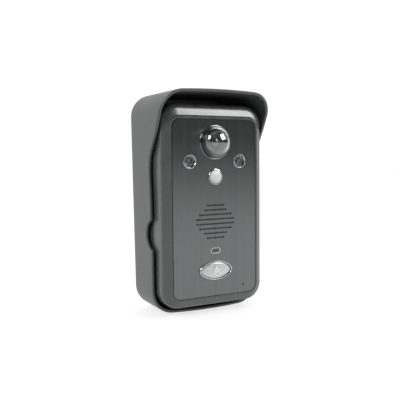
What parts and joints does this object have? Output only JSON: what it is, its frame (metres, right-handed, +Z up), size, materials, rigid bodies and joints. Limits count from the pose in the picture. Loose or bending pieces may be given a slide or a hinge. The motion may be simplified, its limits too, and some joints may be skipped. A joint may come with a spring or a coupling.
{
  "type": "door intercom panel",
  "caption": "Wall-mounted wireless door intercom panel with camera dome, infrared lamps, motion sensor, speaker and oval call button, in a rain hood.",
  "frame": {"origin": "centre of the four wall screw holes on the back face of the rain hood, level with the middle of the faceplate", "axes": "+Z up, +X to the right seen from the front, -Y out of the wall towards the caller"},
  "size_m": [0.0806, 0.0552, 0.145],
  "materials": {
    "hood_plastic": "fine-textured dark grey UV-stable ABS, moulded",
    "case_plastic": "fine-textured dark grey ABS, moulded",
    "plate_metal": "vertically brushed aluminium, anodised gunmetal",
    "bright_trim": "chrome-plated rings",
    "button_metal": "satin silver plated cap",
    "bell_mark": "bright inlay",
    "clear_dome": "clear polycarbonate, polished",
    "clear_window": "clear polycarbonate",
    "smoked_window": "smoked acrylic",
    "light_pipe": "milky light pipe",
    "fresnel_white": "milky polyethylene",
    "black_plastic": "black nylon",
    "lens_glass": "coated lens",
    "rubber_black": "EPDM and silicone",
    "screw_steel": "stainless steel",
    "board_green": "FR4 with green solder mask",
    "chip_black": "moulded epoxy",
    "shield_metal": "tinned steel",
    "flex_film": "polyimide film",
    "sensor_silicon": "image sensor package",
    "led_epoxy": "clear epoxy lamp",
    "adhesive_tape": "double-sided foam tape",
    "mesh_cloth": "acoustic cloth",
    "paper_cone": "coated paper",
    "basket_steel": "pressed steel",
    "magnet_dark": "nickel-plated magnet and yoke",
    "battery_sleeve": "PVC shrink sleeve",
    "plug_white": "nylon connector",
    "terminal_green": "nylon terminal block",
    "red_plastic": "red polycarbonate",
    "slider_white": "nylon",
    "brass_strip": "stamped spring brass"
  },
  "bodies": {
    "panel": {"rain_hood": "hood_plastic", "lock_screw": "screw_steel", "front_shell": "case_plastic", "rear_shell": "case_plastic", "shell_gasket": "rubber_black", "case_screws": "screw_steel", "faceplate": "plate_metal", "faceplate_adhesive": "adhesive_tape", "dome_bezel": "bright_trim", "lens_dome": "clear_dome", "dome_seal": "rubber_black", "camera_baffle": "black_plastic", "camera_barrel": "black_plastic", "camera_lens": "lens_glass", "camera_holder": "black_plastic", "camera_screws": "screw_steel", "image_sensor": "sensor_silicon", "camera_board": "board_green", "camera_flex": "flex_film", "lamp_bezels": "bright_trim", "lamp_windows": "clear_window", "infrared_leds": "led_epoxy", "pir_bezel": "bright_trim", "pir_lens": "fresnel_white", "pir_sensor": "shield_metal", "speaker_mesh": "mesh_cloth", "speaker_gasket": "rubber_black", "speaker_frame": "basket_steel", "speaker_cone": "paper_cone", "speaker_magnet": "magnet_dark", "status_ring": "light_pipe", "status_window": "smoked_window", "status_led": "plug_white", "button_bezel": "bright_trim", "button_seal": "rubber_black", "call_switch": "chip_black", "microphone": "shield_metal", "microphone_boot": "rubber_black", "main_board": "board_green", "board_chips": "chip_black", "radio_shield": "shield_metal", "antenna": "brass_strip", "board_screws": "screw_steel", "battery_pack": "battery_sleeve", "battery_plug": "plug_white", "battery_cover": "case_plastic", "battery_cover_screws": "screw_steel", "service_board": "board_green", "terminal_block": "terminal_green", "terminal_screws": "screw_steel", "pair_switch": "chip_black", "power_switch": "chip_black"},
    "call_button": {"call_button": "button_metal", "bell_inlay": "bell_mark", "call_switch_plunger": "slider_white"},
    "pair_button": {"pair_button": "red_plastic"},
    "power_slider": {"power_slider": "slider_white"}
  },
  "joints": [
    {"name": "call_button_press", "type": "slide", "parent": "panel", "child": "call_button", "axis": [0, 1, 0], "range_m": [0, 0.0008], "stiffness_N_per_m": 1800, "springref_m": -0.0004},
    {"name": "pair_button_press", "type": "slide", "parent": "panel", "child": "pair_button", "axis": [0, -1, 0], "range_m": [0, 0.0005], "stiffness_N_per_m": 1500, "springref_m": -0.0003},
    {"name": "power_slider_slide", "type": "slide", "parent": "panel", "child": "power_slider", "axis": [0, 0, 1], "range_m": [0, 0.002]}
  ]
}
